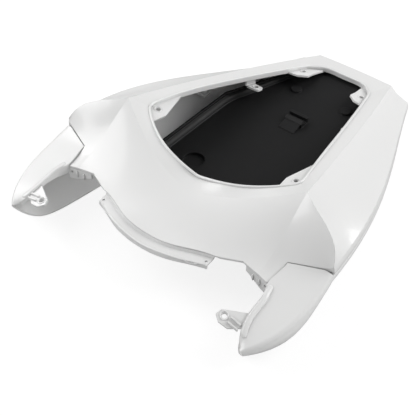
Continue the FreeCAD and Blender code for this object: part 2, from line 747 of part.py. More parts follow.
def tail_cowl():
    solids = [feature("cowl_skin", cowl_skin()), feature("seat_flange", seat_flange())]
    cutters = []
    tab_levels = {"front": lambda y: size("tab_sink"), "rear": lambda y: size("rear_tab_drop"),
                  "mid": lambda y: size("mid_tab_drop")}
    for word, side in SIDES:
        solids.append(feature(word + "_front_tab", front_tab(side)))
        solids.append(feature(word + "_rear_tab", rear_tab(side)))
        solids.append(feature(word + "_mid_tab", mid_tab(side)))
        solids.append(feature(word + "_mid_web", mid_web(side)))
        cover = feature(word + "_skin_cover", skin_cover(side))
        for number, place in enumerate(SCREW_PLACES):
            base = flipped(place, side) + Vector(0, 0, size("seat_gap"))
            boss = primitive("Part::Cylinder", "%s_boss_%d" % (word, number), base,
                             Radius="Sizes.boss_d / 2", Height="Sizes.rim_corner_z / 2")
            solids.append(cut("%s_trimmed_boss_%d" % (word, number), boss, cover))
            cutters.append(primitive("Part::Cylinder", "%s_pilot_%d" % (word, number),
                                     base - Vector(0, 0, 1), Radius="Sizes.boss_hole_d / 2",
                                     Height="Sizes.screw_length"))
        for key, drop in tab_levels.items():
            x, y = size(key + "_hole_x") * side, size(key + "_hole_y")
            cutters.append(hole("%s_%s_hole" % (word, key), Vector(x, y, lip_at(y).z - drop(y)),
                                Vector(0, 0, 1), "tab_hole_d"))
        hole_x = size("flange_half") - size("flange_hole_inset")
        root = front_foot(hole_x / FOOT_CORNER.x)
        cutters.append(hole(word + "_flange_hole",
                            Vector(hole_x * side, root.y - size("flange_hold"),
                                   root.z - size("flange_step")), Vector(0, 0, 1), "flange_hole_d"))
        cutters.append(edge_cut(word, side, SEAM_LINE))
    return cut("tail_cowl", fused("cowl_body", solids), fused("cowl_cuts", cutters))


# Side panels

wing_inner = guide((SEAM_MID + Vector(0.4, -size("seam_gap"), -0.5),
                    along(SEAM_MID, SEAM_INNER, 0.5) + Vector(1.2, 0, -1), SEAM_INNER + Vector(1.6, 0, -1),
                    SEAM_INNER + Vector(5, -10, -2.2), WING_EDGE, WING_EDGE + Vector(1.5, -24.5, -6),
                    WING_TIP + Vector(-8, 7, 4)), (0, 0.16, 0.31, 0.4, 0.56, 0.8, 1))
wing_ridge = guide((SHOULDER + PANEL_TOP, WING_OUT, WING_OUT + Vector(-3.6, -36, -8),
                    WING_OUT + Vector(-14, -66, -13.5), WING_TIP), (0, 0.28, 0.56, 0.8, 1))
FOOT_WING = Vector(size("foot_wing_x"), size("foot_wing_y"), size("foot_wing_z"))
FOOT_SHOULDER = Vector(foot_x(size("shoulder_y")), size("shoulder_y"), 0)
wing_foot = guide((FOOT_SHOULDER, along(FOOT_SHOULDER, FOOT_WING, 0.5) + Vector(-2, 0, 2), FOOT_WING,
                   FOOT_WING + Vector(9, -27, 4), WING_TIP + Vector(-5, 3, -6.5)), (0, 0.28, 0.5, 0.76, 1))
WING_SHARES = (1, 0.87, 0.73, 0.6, 0.48, 0.39, 0.31, 0.16, 0)


def wing_crease(share):
    """Soft crease that ends the flat top of the wing, inside its rolled outer edge."""
    outer = wing_ridge(share)
    whole = (outer - wing_inner(share)).Length
    inward = min(size("wing_crease_in") * along(1, 0.5, min(1, share / 0.5)), whole * 0.32)
    beside_seam = inward * 0.34 * max(0.0, 1 - share / 0.16)
    return outer + Vector(-inward, -beside_seam, min(size("wing_crease_rise"), whole * 0.25))


def past_seam(share):
    """Grows from 0 to 1 where the wing's inner edge leaves the cowl."""
    part = min(1.0, max(0.0, (share - 0.31) / 0.12))
    return part * part * (3 - 2 * part)


def wing_band_line(share):
    """Band that slopes from the inner edge down to the valley beside it."""
    inner, crease_point = wing_inner(share), wing_crease(share)
    across = crease_point - inner
    band = min(size("wing_band"), across.Length * 0.45)
    grown = past_seam(share) * min(1.0, across.Length / 30)
    across.normalize()
    sunk = Vector(0, 0, size("wing_valley") * grown)
    return [inner, inner + across * band - sunk]


def wing_top_line(share):
    start, end = wing_band_line(share)[-1], wing_crease(share)
    return [start, along(start, end, 0.45), end]


def wing_roll_line(share):
    """Quarter turn from the crease down to the ridge of the wing."""
    start, end = wing_crease(share), wing_ridge(share)
    line = []
    for part in even(FACE_ROWS):
        turn = math.pi / 2 * part
        line.append(Vector(along(start.x, end.x, math.sin(turn)), along(start.y, end.y, part),
                           along(start.z, end.z, 1 - math.cos(turn))))
    return line


def wing_wall_line(share):
    bulge = size("panel_bulge") * (1 - share ** 2 * 0.85) + size("wing_swell") * math.sin(math.pi * share) ** 2
    return [wall_point(wing_ridge(share), wing_foot(share), bulge, part) for part in WALL_PARTS]


def wing_skirt_line(share):
    edge = wing_inner(share)
    deep = along(size("wing_skirt"), size("curl_skirt"), max(0.0, 1 - abs(share - 0.37) / 0.3))
    return [edge - Vector(0.6, 0, deep), edge]


def panel_skin(side):
    rear = even(SIDE_STATIONS)
    walls = [[side_wall(share, part) for part in WALL_PARTS] for share in rear]
    flange = [[line[-1], line[-1] - Vector(size("foot_flange"), 0, 0)] for line in walls]
    lines = [[line(share) for share in WING_SHARES] for line in
             (wing_skirt_line, wing_band_line, wing_top_line, wing_roll_line, wing_wall_line)]
    lines += [walls, flange]
    grids = [grid_of(group) for group in lines]
    return moulded_shell(grids if side > 0 else [mirrored_grid(grid) for grid in grids], size("panel_wall"))


def ledge(side, y):
    """Ledge inside the side wall that takes one screw."""
    half, reach, inside = size("ledge_width") / 2, size("ledge_reach"), size("panel_wall") * 0.55
    near, far = ledge_corner(y - half), ledge_corner(y + half)
    level = screw_place(y).z
    tip = screw_place(y).x - half
    plane = [Vector(0, 0, level), Vector(side, 0, level), Vector(0, side, level)]
    outline = [(near.x - inside, y - half), (tip, y - half), (tip, y + half), (far.x - inside, y + half)]
    return tilted_plate(plane, [(x * side, y) for x, y in outline], size("tab_wall"), 1.2)


def wing_tab(side):
    """Fixing tab that reaches in from the wing's inner edge."""
    low, high = wing_inner(0.86), wing_inner(0.70)
    x, y = size("wing_hole_x"), size("wing_hole_y")
    sink, inside = Vector(0, 0, size("wing_tab_sink")), size("panel_wall") * 0.5
    plane = [flipped(point, side) for point in (Vector(x, y, size("wing_hole_z")), low - sink, high - sink)]
    outline = [(low.x + inside, low.y), (x + 10, y - 8), (x - 1, y - 8.5), (x - 8, y - 4), (x - 6, y + 3),
               (x - 2, y + 5.5), (high.x + inside, high.y)]
    return tilted_plate(plane, [(px * side, py) for px, py in outline], size("tab_wall"), 1.2), plane


def wing_rib(side, plane, offset):
    """Low rib along the wing tab."""
    y = size("wing_hole_y") + offset
    start, end = size("wing_hole_x") + 7, wing_inner(0.78).x + 0.5
    half = size("wing_rib") / 2
    corners = [Vector(x * side, py, level_on(plane, x * side, py) - 0.5)
               for x, py in ((start, y - half), (end, y - half), (end, y + half), (start, y + half))]
    return Part.Face(Part.makePolygon(corners + corners[:1])).extrude(Vector(0, 0, size("wing_rib_height")))


def face_column(share):
    """The line that runs down the front face or the shoulder at the given share of its width."""
    past = (share - SHOULDER_START) / (1 - SHOULDER_START)
    top = rim_front(share / SHOULDER_START) if past < 0 else shoulder_edge(past)
    return spline(face_line(top, knee_line(share), foot_line(share)))


def face_height(x, y):
    """Height of the front face above the given place in plan."""
    low, high = 0.0, 1.0
    for _ in range(24):
        middle = (low + high) / 2
        column = face_column(middle)
        there = column.value(1 - share_at(lambda share: column.value(1 - share), y))
        low, high = (middle, high) if there.x < x else (low, middle)
    return there.z


def ear_line(part):
    """One line of the ear: its flange tucked below the cowl, its upper edge and its lower edge."""
    start, end = Vector(size("ear_start_x"), size("seam_corner_y"), 0), wing_inner(0.31)
    edge = along(start, end + Vector(size("panel_wall") * 0.4, 0, 0), part)
    under = size("cowl_wall") * 1.1 + size("ear_gap")
    edge.z = face_height(edge.x, edge.y) - under
    back = Vector(edge.x, edge.y + size("ear_flange"), 0)
    back.z = face_height(back.x, back.y) - under
    depth = along(size("ear_start_depth"), size("ear_depth"), min(1.0, part * 1.5))
    return [back, edge, edge - Vector(0, 0, depth)]


def ear_skin(side):
    """Ear that carries the wing's inner wall on below the front edge of the cowl."""
    rows = grid_of([ear_line(part) for part in even(4)])
    grids = [rows[i:i + 2] for i in range(2)]
    return moulded_shell(grids if side > 0 else [mirrored_grid(grid) for grid in grids], size("panel_wall"))


def side_panel(word, side):
    tab, plane = wing_tab(side)
    solids = [feature(word + "_panel_skin", panel_skin(side)), feature(word + "_wing_tab", tab),
              feature(word + "_ear", ear_skin(side))]
    solids += [feature("%s_wing_rib_%d" % (word, number), wing_rib(side, plane, offset))
               for number, offset in enumerate((-3.5, 2))]
    ear_end = ear_line(1)[1] - Vector(size("ear_hole_inset"), 0, size("ear_hole_drop"))
    cutters = [hole(word + "_wing_hole", plane[0], Vector(0, 0, 1), "tab_hole_d"),
               hole(word + "_ear_hole", flipped(ear_end, side), Vector(0, 1, 0), "ear_hole_d")]
    for number, place in enumerate(SCREW_PLACES):
        solids.append(feature("%s_ledge_%d" % (word, number), ledge(side, place.y)))
        cutters.append(hole("%s_ledge_hole_%d" % (word, number), flipped(place, side), Vector(0, 0, 1),
                            "screw_hole_d"))
    for number, place in enumerate(RIVET_PLACES):
        cutters.append(hole("%s_foot_hole_%d" % (word, number), flipped(place, side), Vector(0, 0, 1),
                            "rivet_hole_d"))
    return cut(word + "_side_panel", fused(word + "_panel_body", solids), fused(word + "_panel_cuts", cutters))


# Undertray

TRAY_BOTTOM = "panel_wall + seat_gap"
TRAY_SIDE = "foot_waist_x - tray_edge_gap - tray_side_flange"
TRAY_REAR = "foot_tail_x - tray_rear_inset"
TRAY_OUTLINE = both(("tray_front_half", "tray_front_y"), (TRAY_SIDE, "tray_corner_y"),
                    (TRAY_SIDE, "tray_side_y"), (TRAY_REAR, "tray_rear_y"), ("tray_end_half", "tray_end_y"))


def inset_outline(wall):
    """The tray's outline moved in by a wall."""
    return both(("tray_front_half - " + wall, "tray_front_y + " + wall),
                (TRAY_SIDE + " - " + wall, "tray_corner_y + " + wall),
                (TRAY_SIDE + " - " + wall, "tray_side_y - " + wall),
                (TRAY_REAR + " - " + wall, "tray_rear_y - " + wall),
                ("tray_end_half - " + wall, "tray_end_y - " + wall))


def undertray():
    body = doc.addObject("PartDesign::Body", "tray_body")
    skirt = outline_sketch(body, "tray_skirt", TRAY_OUTLINE, TRAY_BOTTOM)
    pad(body, skirt, "tray_lip_z - panel_wall - seat_gap")
    flange = outline_sketch(body, "tray_flange", both(
        ("tray_front_half", "tray_front_y - tray_front_flange"),
        ("foot_shoulder_x - tray_edge_gap", "tray_corner_y"),
        ("foot_waist_x - tray_edge_gap", "tray_side_y"),
        (TRAY_REAR + " + foot_flange", "tray_rear_y"), ("foot_tail_x", "tray_end_y")), TRAY_BOTTOM)
    pad(body, flange, "tray_wall")
    tub = outline_sketch(body, "tray_tub", inset_outline("tray_lip_width"), "tray_lip_z")
    pocket(body, tub, "tray_lip_z - tray_floor_z")
    hollow = outline_sketch(body, "tray_hollow", inset_outline("tray_wall"), TRAY_BOTTOM)
    pocket(body, hollow, "tray_floor_z - tray_wall - panel_wall - seat_gap", reverse=True)
    recesses = [("recess_x", "recess_y"), ("- recess_x", "recess_y")]
    cups = circle_sketch(body, "recess_cups", recesses, "recess_d + tray_wall + tray_wall", "tray_floor_z")
    pad(body, cups, "recess_depth + tray_wall", reverse=True)
    wells = circle_sketch(body, "recess_wells", recesses, "recess_d", "tray_floor_z")
    pocket(body, wells, "recess_depth")
    dimples = circle_sketch(body, "dimples", [("dimple_x", "dimple_y"), ("- dimple_x", "dimple_y")],
                            "dimple_d", "tray_floor_z")
    pad(body, dimples, "dimple_rise")
    sideways = Rotation(Vector(0, 1, 0), Vector(0, 0, 1), Vector(1, 0, 0), "ZXY")
    catch = outline_sketch(body, "catch_profile", [
        ("catch_y", "tray_floor_z - tray_wall"), ("catch_y + catch_length", "tray_floor_z - tray_wall"),
        ("catch_y + catch_length", "tray_floor_z + catch_rise"), ("catch_y + catch_ramp",
                                                                  "tray_floor_z + catch_rise"),
        ("catch_y", "tray_floor_z + catch_ramp")], turned=sideways)
    pad(body, catch, "catch_width", middle=True)
    slot = outline_sketch(body, "catch_slot", both(
        ("catch_slot_width", "catch_y + catch_ramp + catch_slot_length"),
        ("catch_slot_width", "catch_y + catch_ramp")), "tray_floor_z + catch_rise")
    pocket(body, slot, "catch_slot_depth")
    slope = outline_sketch(body, "lip_slope", [
        ("tray_side_y", "tray_lip_z"), ("tray_end_y", "tray_end_z"),
        ("tray_end_y + tray_wall", "tray_end_z"), ("tray_end_y + tray_wall", "tray_lip_z + tray_wall"),
        ("tray_side_y", "tray_lip_z + tray_wall")], turned=sideways)
    sloped = pocket(body, slope, "foot_waist_x + foot_waist_x")
    sloped.Midplane = True
    doc.recompute()
    holes = []
    for word, side in SIDES:
        holes += [hole("%s_tray_hole_%d" % (word, number), flipped(place, side), Vector(0, 0, 1),
                       "rivet_hole_d") for number, place in enumerate(RIVET_PLACES)]
    return cut("undertray", body, fused("tray_holes", holes))


# Screws and rivets

def turned(name, place, head, shank):
    """A fastener made of a head and a shank, each given by its base, its diameter and its length."""
    parts = [primitive("Part::Cylinder", "%s_%s" % (name, word), place + Vector(0, 0, base),
                       Radius="Sizes.%s / 2" % diameter, Height=length)
             for word, (base, diameter, length) in (("head", head), ("shank", shank))]
    return fused(name, parts)


def screws(word, side):
    under = -size("tab_wall") - size("seat_gap")
    made = [turned("%s_screw_%d" % (word, number), flipped(place, side),
                   (under - size("screw_head"), "screw_head_d", "Sizes.screw_head"),
                   (under, "screw_shank_d", "Sizes.screw_length")) for number, place in enumerate(SCREW_PLACES)]
    return grouped(word + "_panel_screws", made)


def rivets(word, side):
    top = size("panel_wall") + size("seat_gap") * 2 + size("tray_wall")
    made = [turned("%s_rivet_%d" % (word, number), flipped(place, side),
                   (top, "rivet_head_d", "Sizes.rivet_head"),
                   (size("seat_gap"), "rivet_shank_d", "Sizes.panel_wall + Sizes.seat_gap + Sizes.tray_wall"))
            for number, place in enumerate(RIVET_PLACES)]
    return grouped(word + "_tray_rivets", made)


def grouped(name, parts):
    made = doc.addObject("Part::Compound", name)
    made.Links = parts
    return made


PIECES = {"tail_cowl": tail_cowl(), "undertray": undertray()}
for side_word, side_sign in SIDES:
    PIECES[side_word + "_side_panel"] = side_panel(side_word, side_sign)
    PIECES[side_word + "_panel_screws"] = screws(side_word, side_sign)
    PIECES[side_word + "_tray_rivets"] = rivets(side_word, side_sign)
doc.recompute()

for made in doc.Objects:
    if "Invalid" in made.State or "Error" in made.State:
        raise RuntimeError("%s did not build: %s" % (made.Name, made.State))

os.makedirs("parts", exist_ok=True)
for label, piece in PIECES.items():
    piece.Label = label
    if piece.Shape.isNull() or not piece.Shape.isValid():
        raise RuntimeError("%s has no valid shape" % label)
    piece.Shape.exportStep("parts/%s.step" % label)
    print(label, len(piece.Shape.Solids), round(piece.Shape.Volume))
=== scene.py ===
import json
import math

import bpy
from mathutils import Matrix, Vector


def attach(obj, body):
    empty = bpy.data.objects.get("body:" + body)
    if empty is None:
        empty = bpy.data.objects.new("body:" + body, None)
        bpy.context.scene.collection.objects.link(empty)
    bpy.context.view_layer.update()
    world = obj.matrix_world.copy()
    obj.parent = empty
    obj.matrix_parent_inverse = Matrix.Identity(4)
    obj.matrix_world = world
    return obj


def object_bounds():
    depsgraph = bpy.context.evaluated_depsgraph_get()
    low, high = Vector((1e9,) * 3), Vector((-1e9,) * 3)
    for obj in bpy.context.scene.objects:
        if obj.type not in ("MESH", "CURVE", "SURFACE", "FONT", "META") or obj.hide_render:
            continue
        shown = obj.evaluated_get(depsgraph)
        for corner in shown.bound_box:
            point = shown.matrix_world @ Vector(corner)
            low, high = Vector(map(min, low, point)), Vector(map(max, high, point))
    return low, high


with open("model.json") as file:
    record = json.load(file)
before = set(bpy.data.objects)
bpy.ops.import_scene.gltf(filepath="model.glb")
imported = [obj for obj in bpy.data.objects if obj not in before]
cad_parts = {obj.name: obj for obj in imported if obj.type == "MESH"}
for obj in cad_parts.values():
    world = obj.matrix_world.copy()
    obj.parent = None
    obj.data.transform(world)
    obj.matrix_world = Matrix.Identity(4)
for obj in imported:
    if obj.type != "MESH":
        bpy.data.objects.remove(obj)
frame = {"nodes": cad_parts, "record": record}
cad_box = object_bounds()

# A white motorcycle tail fairing on a pale floor, seen from its front left corner. Metres, +Z up.
# -Y is the front of the bike and +X its left side.

SIDES = (("left", 1), ("right", -1))

# Colours, and the samples of the bevel node and of the node that paints shade into grooves
WHITE_PLASTIC = (0.86, 0.86, 0.855, 1)
TRAY_BLACK = (0.0055, 0.0055, 0.006, 1)
STEEL_COLOUR = (0.55, 0.55, 0.56, 1)
SHADER_SAMPLES = 6

# Floor, and how it looks to the camera
FLOOR_HALF, FLOOR_DROP = 4.0, 0.0002
FLOOR_COLOUR = (0.5, 0.5, 0.5, 1)
FLOOR_SEEN_COLOUR, FLOOR_GLOW = (0.25, 0.25, 0.25, 1), 0.82

# Camera
CAMERA_AZIMUTH = math.radians(39.1547)
CAMERA_ELEVATION = math.radians(44.0892)
CAMERA_PLACE = Vector((0.472354, -0.664763, 0.734500))
SENSOR_WIDTH = 36
FOCAL_IN_FRAMES = 880 / 416

# Soft boxes with their places and powers. Left and right are as the camera sees them.
SOFT_BOX_WIDTH, SOFT_BOX_AIM = 1.3, Vector((0, 0, 0.05))
SOFT_BOXES = (("left_front_box", Vector((-1.5, -0.6, 1.1)), 19),
              ("left_box", Vector((-1.6, 0.3, 1.2)), 5),
              ("rear_right_box", Vector((1.2, 1.2, 1.2)), 25))

# Outline of the seat opening and of the rim round it
RIM_CORNER = Vector((0.128, -0.076, 0.106))
RIM_REAR = Vector((0.057, 0.234, 0.033))
RIM_DIP = Vector((0, -0.122, 0.069))
RIM_BOW = 0.004
RIM_WIDTH, RIM_REAR_WIDTH = 0.017, 0.0215
RIM_FALL, RIM_CORNER_FALL, RIM_CORNER_SHARE = 0.002, 0.008, 0.35
RIM_FRONT_WIDTH, RIM_FRONT_RISE = 0.0205, 0.0045
CHAMFER_X, RIM_TAIL_WIDTH = 0.030, 0.029

# How far from the rim's corners the opening's side edge starts and ends: shares of the rim's width in
# front, and of the tail's half width behind
SIDE_START, SIDE_END = 0.9, 0.82

# Powers that shape the opening's front edge, forward and up, and the rim's front
LIP_SWEEP, LIP_RISE, RIM_RISE = 2.5, 0.85, 1.65

# Bead round the opening
BEAD_WIDTH, BEAD_RISE, BEAD_SINK, BEAD_EASING = 0.0033, 0.0016, 0.0004, 2
FRONT_STEPS, SIDE_STEPS, REAR_STEPS = 28, 40, 20
PROFILE_STEPS, PROFILE_FULLNESS = 7, 0.7

# Inside of the undertray
TRAY_FLOOR, TRAY_WALL, TRAY_LIP, TRAY_END = 0.030, 0.003, 0.040, 0.0335
TRAY_CORNERS = ((0.062, -0.104), (0.101, -0.068), (0.101, 0.075), (0.066, 0.172), (0.038, 0.213))
TRAY_SPINE = (-0.05, 0.15)
TRAY_STEPS = 12
COVE_RADIUS, COVE_WALL_SHARE, COVE_STEPS = 0.0072, 0.85, 8
COVE_LIFT, COVE_INTO_WALL = 0.0002, 0.0003
CATCH_Y, CATCH_RAMP, CATCH_WIDTH, CATCH_REACH = 0.086, 0.0048, 0.023, 0.015
CATCH_TOE, CATCH_SINK = 0.0006, 0.0003

# Tab holes by node, and the rings round them
TAB_HOLE_RADIUS = 0.003
TAB_HOLES = (("tail_cowl", 0.100, -0.056), ("tail_cowl", 0.0455, 0.175), ("tail_cowl", 0.071, 0.102),
             ("{side}_side_panel", 0.1324, -0.2216))
RING_WIDTH, RING_RISE, RING_SINK, RING_STEPS = 0.0018, 0.0007, 0.0002, 28
RING_PROBE, RING_START = 1.3, 1.12

# Inner edge of the wing and the band along it
WING_EDGE = ((0.1462, -0.167), (0.1480, -0.175), (0.1500, -0.185), (0.1502, -0.196), (0.1512, -0.209),
             (0.1540, -0.221), (0.1580, -0.2285))
BAND_INSET, BAND_WIDTH, BAND_RISE, BAND_SINK, BAND_STEPS = 0.0038, 0.0066, 0.0014, 0.0005, 40

# Outer edge of the seat-side flange and the bead along it
FLANGE_HALF, FLANGE_Y, FLANGE_BOW, FLANGE_INSET = 0.0775, -0.2052, 0.0200, 0.0024
FLANGE_BEAD_WIDTH, FLANGE_BEAD_RISE, FLANGE_BEAD_SINK, FLANGE_STEPS = 0.0026, 0.0009, 0.0004, 49

# Ribs on the front of each ear, with the heights and scales of their stations
EAR_START, EAR_SLOPE, EAR_RIBS = (0.113, -0.1604), 0.155, (0.1235, 0.1330)
EAR_RIB_HALF, EAR_RIB_DEPTH, EAR_RIB_SINK = 0.0009, 0.0016, 0.0004
EAR_RIB_STATIONS = ((0.0475, 1), (0.043, 1), (0.0385, 0.4))

# Height over the floor from which rays look down on the part, and how laid trim tapers at its ends
RAY_TOP = 0.2
END_SCALE, END_GROWTH = 0.35, 12


# Materials

def new_material(name):
    material = bpy.data.materials.new(name)
    material.use_nodes = True
    tree = material.node_tree
    return material, tree, tree.nodes["Principled BSDF"]


def object_place(tree):
    return tree.nodes.new("ShaderNodeTexCoord").outputs["Object"]


def noise(tree, source, scale, detail):
    node = tree.nodes.new("ShaderNodeTexNoise")
    node.inputs["Scale"].default_value = scale
    node.inputs["Detail"].default_value = detail
    tree.links.new(source, node.inputs["Vector"])
    return node.outputs["Fac"]


def uneven_roughness(tree, shader, value, low, high):
    """Roughness that wanders between the two values."""
    node = tree.nodes.new("ShaderNodeMapRange")
    node.inputs["To Min"].default_value = low
    node.inputs["To Max"].default_value = high
    tree.links.new(value, node.inputs["Value"])
    tree.links.new(node.outputs["Result"], shader.inputs["Roughness"])


def rounded_edges(tree, radius):
    """A normal that rounds the sharp edges of a moulding."""
    node = tree.nodes.new("ShaderNodeBevel")
    node.samples = SHADER_SAMPLES
    node.inputs["Radius"].default_value = radius
    return node.outputs["Normal"]


def bumped(tree, shader, height, normal, strength, distance):
    node = tree.nodes.new("ShaderNodeBump")
    node.inputs["Strength"].default_value = strength
    node.inputs["Distance"].default_value = distance
    tree.links.new(height, node.inputs["Height"])
    tree.links.new(normal, node.inputs["Normal"])
    tree.links.new(node.outputs["Normal"], shader.inputs["Normal"])


def painted_groove_shade(tree, shader, colour, reach, darkest):
    """The colour with painted shade: darker in grooves, seams and hollow corners, by ambient occlusion.
    """
    shade = tree.nodes.new("ShaderNodeAmbientOcclusion")
    shade.samples = SHADER_SAMPLES
    shade.inputs["Distance"].default_value = reach
    mix = tree.nodes.new("ShaderNodeMix")
    mix.data_type = "RGBA"
    mix.inputs[6].default_value = [channel * darkest for channel in colour[:3]] + [1]
    mix.inputs[7].default_value = colour
    tree.links.new(shade.outputs["AO"], mix.inputs[0])
    tree.links.new(mix.outputs[2], shader.inputs["Base Color"])


def gloss_white():
    """White moulded plastic: a soft gloss with a faint ripple, slightly uneven roughness and painted
    shade in its grooves.
    """
    material, tree, shader = new_material("gloss_white")
    # Painted shade: the base colour falls to 0.55 of itself in grooves and seams, within 4 mm.
    painted_groove_shade(tree, shader, colour=WHITE_PLASTIC, reach=0.004, darkest=0.55)
    shader.inputs["Coat Weight"].default_value = 0.45
    shader.inputs["Coat Roughness"].default_value = 0.14
    place = object_place(tree)
    uneven_roughness(tree, shader, noise(tree, place, scale=14, detail=3), low=0.28, high=0.42)
    bumped(tree, shader, noise(tree, place, scale=55, detail=2), rounded_edges(tree, radius=0.0007),
           strength=0.03, distance=0.001)
    return material


def textured_black():
    """Black moulded plastic with a fine spark-eroded grain."""
    material, tree, shader = new_material("textured_black")
    shader.inputs["Base Color"].default_value = TRAY_BLACK
    shader.inputs["Specular IOR Level"].default_value = 0.35
    place = object_place(tree)
    uneven_roughness(tree, shader, noise(tree, place, scale=30, detail=4), low=0.46, high=0.64)
    bumped(tree, shader, noise(tree, place, scale=1500, detail=2), rounded_edges(tree, radius=0.0012),
           strength=0.35, distance=0.0004)
    return material


def plated_steel():
    """Bright plated steel with fine uneven polish, for the screws."""
    material, tree, shader = new_material("plated_steel")
    shader.inputs["Base Color"].default_value = STEEL_COLOUR
    shader.inputs["Metallic"].default_value = 1
    place = object_place(tree)
    uneven_roughness(tree, shader, noise(tree, place, scale=400, detail=3), low=0.25, high=0.42)
    return material


MATERIALS = {"gloss_white": gloss_white(), "textured_black": textured_black(),
             "screw_steel": plated_steel()}
MATERIALS["rivet_black"] = MATERIALS["textured_black"]

NODE_SLOTS = {row["node"]: row["material_slot"] for row in frame["record"]["subparts"]}

for name, node in frame["nodes"].items():
    node.data.materials.clear()
    node.data.materials.append(MATERIALS[NODE_SLOTS[name]])


# Lines and sweeps

def along(start, end, share):
    return start + (end - start) * share


def even(count):
    return [index / (count - 1) for index in range(count)]


def mirrored(point):
    return Vector((-point.x, point.y, point.z))


def smoothed(points, rounds):
    """A closed line with its corners eased by averaging each point with its neighbours."""
    for _ in range(rounds):
        count = len(points)
        points = [(points[i - 1] + points[i] * 2 + points[(i + 1) % count]) / 4 for i in range(count)]
    return points


def eased(points, count):
    """A Catmull-Rom line through a few points, in the given number of steps."""
    line = []
    last = len(points) - 1
    for step in range(count + 1):
        whole = min(int(step / count * last), last - 1)
        t = step / count * last - whole
        a, b, c, d = (points[min(max(whole + k, 0), last)] for k in (-1, 0, 1, 2))
        line.append(tuple(0.5 * (2 * q + (r - p) * t + (2 * p - 5 * q + 4 * r - s) * t ** 2
                                 + (3 * q - p - 3 * r + s) * t ** 3) for p, q, r, s in zip(a, b, c, d)))
    return line


def add_piece(name, vertices, faces, slot):
    """A new piece of the part, in the material of the named slot."""
    mesh = bpy.data.meshes.new(name)
    mesh.from_pydata(vertices, [], faces)
    mesh.materials.append(MATERIALS[slot])
    for face in mesh.polygons:
        face.use_smooth = True
    piece = bpy.data.objects.new(name, mesh)
    bpy.context.scene.collection.objects.link(piece)
    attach(piece, "root")
    return piece


def swept(name, stations, profile, slot, closed):
    """The profile set across and up at each station, joined in rings. Open ends are capped."""
    count, width = len(stations), len(profile)
    vertices = [place + across * x * scale + up * z * scale
                for place, across, up, scale in stations for x, z in profile]
    faces = []
    for i in range(count if closed else count - 1):
        here, there = i * width, (i + 1) % count * width
        faces += [(here + j, here + (j + 1) % width, there + (j + 1) % width, there + j)
                  for j in range(width)]
    if not closed:
        faces += [tuple(range(width))[::-1], tuple(range((count - 1) * width, count * width))]
    return add_piece(name, vertices, faces, slot)


def ring_stations(inner, outer, scales):
    """Stations round a closed line, each across from the inner line to the outer one."""
    stations = []
    for i, place in enumerate(inner):
        across = (outer[i] - place).normalized()
        ahead = (inner[(i + 1) % len(inner)] - inner[i - 1]).normalized()
        up = across.cross(ahead).normalized()
        stations.append((place, across, up if up.z > 0 else -up, scales[i]))
    return stations


def round_profile(width, rise, sink):
    """A low rounded bead that starts at its line and is sunk a little into the surface."""
    top = [(width * (0.5 - 0.5 * math.cos(math.pi * part)),
            rise * math.sin(math.pi * part) ** PROFILE_FULLNESS) for part in even(PROFILE_STEPS)]
    return top + [(width, -sink), (0, -sink)]


def centred_profile(width, rise, sink):
    """The same bead with its middle on the line."""
    return [(x - width / 2, z) for x, z in round_profile(width, rise, sink)]


def surface_at(node, x, y):
    """Place and normal where a ray straight down at the point first meets the node, if it does."""
    back = node.matrix_world.inverted()
    below = back.to_3x3() @ Vector((0, 0, -1))
    found, place, normal, _ = node.ray_cast(back @ Vector((x, y, RAY_TOP)), below)
    if not found:
        return None
    return node.matrix_world @ place, (node.matrix_world.to_3x3() @ normal).normalized()


def laid_stations(node, points, inset, side):
    """Stations on the node's surface along a line moved sideways by the inset, smaller at its ends."""
    stations = []
    last = len(points) - 1
    for i, (x, y) in enumerate(points):
        before, after = points[max(i - 1, 0)], points[min(i + 1, last)]
        ahead = Vector((after[0] - before[0], after[1] - before[1], 0)).normalized()
        across = Vector((0, 0, 1)).cross(ahead)
        spot = Vector((x, y, 0)) + across * inset
        hit = surface_at(node, spot.x * side, spot.y)
        if hit:
            place, up = hit
            across = Vector((across.x * side, across.y, 0))
            across = (across - up * across.dot(up)).normalized()
            end_share = min(i, last - i) / last
            stations.append((place, across, up, min(1.0, END_SCALE + end_share * END_GROWTH)))
    return stations


# Trim

def crease(share):
    bow = RIM_BOW * 4 * share * (1 - share)
    return along(RIM_CORNER, RIM_REAR, share) + Vector((bow, 0, bow / 2))


def side_lip(share):
    """Side edge of the seat opening and, beside it, the rim's outer edge."""
    width = along(RIM_WIDTH, RIM_REAR_WIDTH, share)
    fall = RIM_CORNER_FALL * max(0.0, 1 - share / RIM_CORNER_SHARE) ** 2 + RIM_FALL * share
    start = RIM_CORNER.y + RIM_WIDTH * SIDE_START
    end = RIM_REAR.y - RIM_REAR.x * SIDE_END
    outer = crease((along(start, end, share) - RIM_CORNER.y) / (RIM_REAR.y - RIM_CORNER.y))
    return outer - Vector((width, 0, fall)), outer


def front_lip(share):
    """Front edge of the seat opening, from the centre line to its corner, and the rim's front."""
    corner = side_lip(0)[0]
    inner = Vector((corner.x * share, along(RIM_DIP.y + RIM_FRONT_WIDTH, corner.y, share ** LIP_SWEEP),
                    along(RIM_DIP.z + RIM_FRONT_RISE, corner.z, share ** LIP_RISE)))
    rise = share ** RIM_RISE
    outer = Vector((RIM_CORNER.x * share, along(RIM_DIP.y, RIM_CORNER.y, rise),
                    along(RIM_DIP.z, RIM_CORNER.z, rise)))
    return inner, outer


def rear_lip(share):
    """Rear edge of the seat opening, from the centre line round its chamfer, and the tail edge."""
    corner = side_lip(1)[0]
    rear_y = RIM_REAR.y - RIM_TAIL_WIDTH
    past = max(0.0, (corner.x * share - CHAMFER_X) / (corner.x - CHAMFER_X))
    y = along(rear_y, corner.y, past)
    slope = (corner.z - RIM_REAR.z) / (RIM_REAR.y - corner.y)
    inner = Vector((corner.x * share, y, RIM_REAR.z + slope * (RIM_REAR.y - y)))
    return inner, Vector((RIM_REAR.x * share, RIM_REAR.y, RIM_REAR.z))


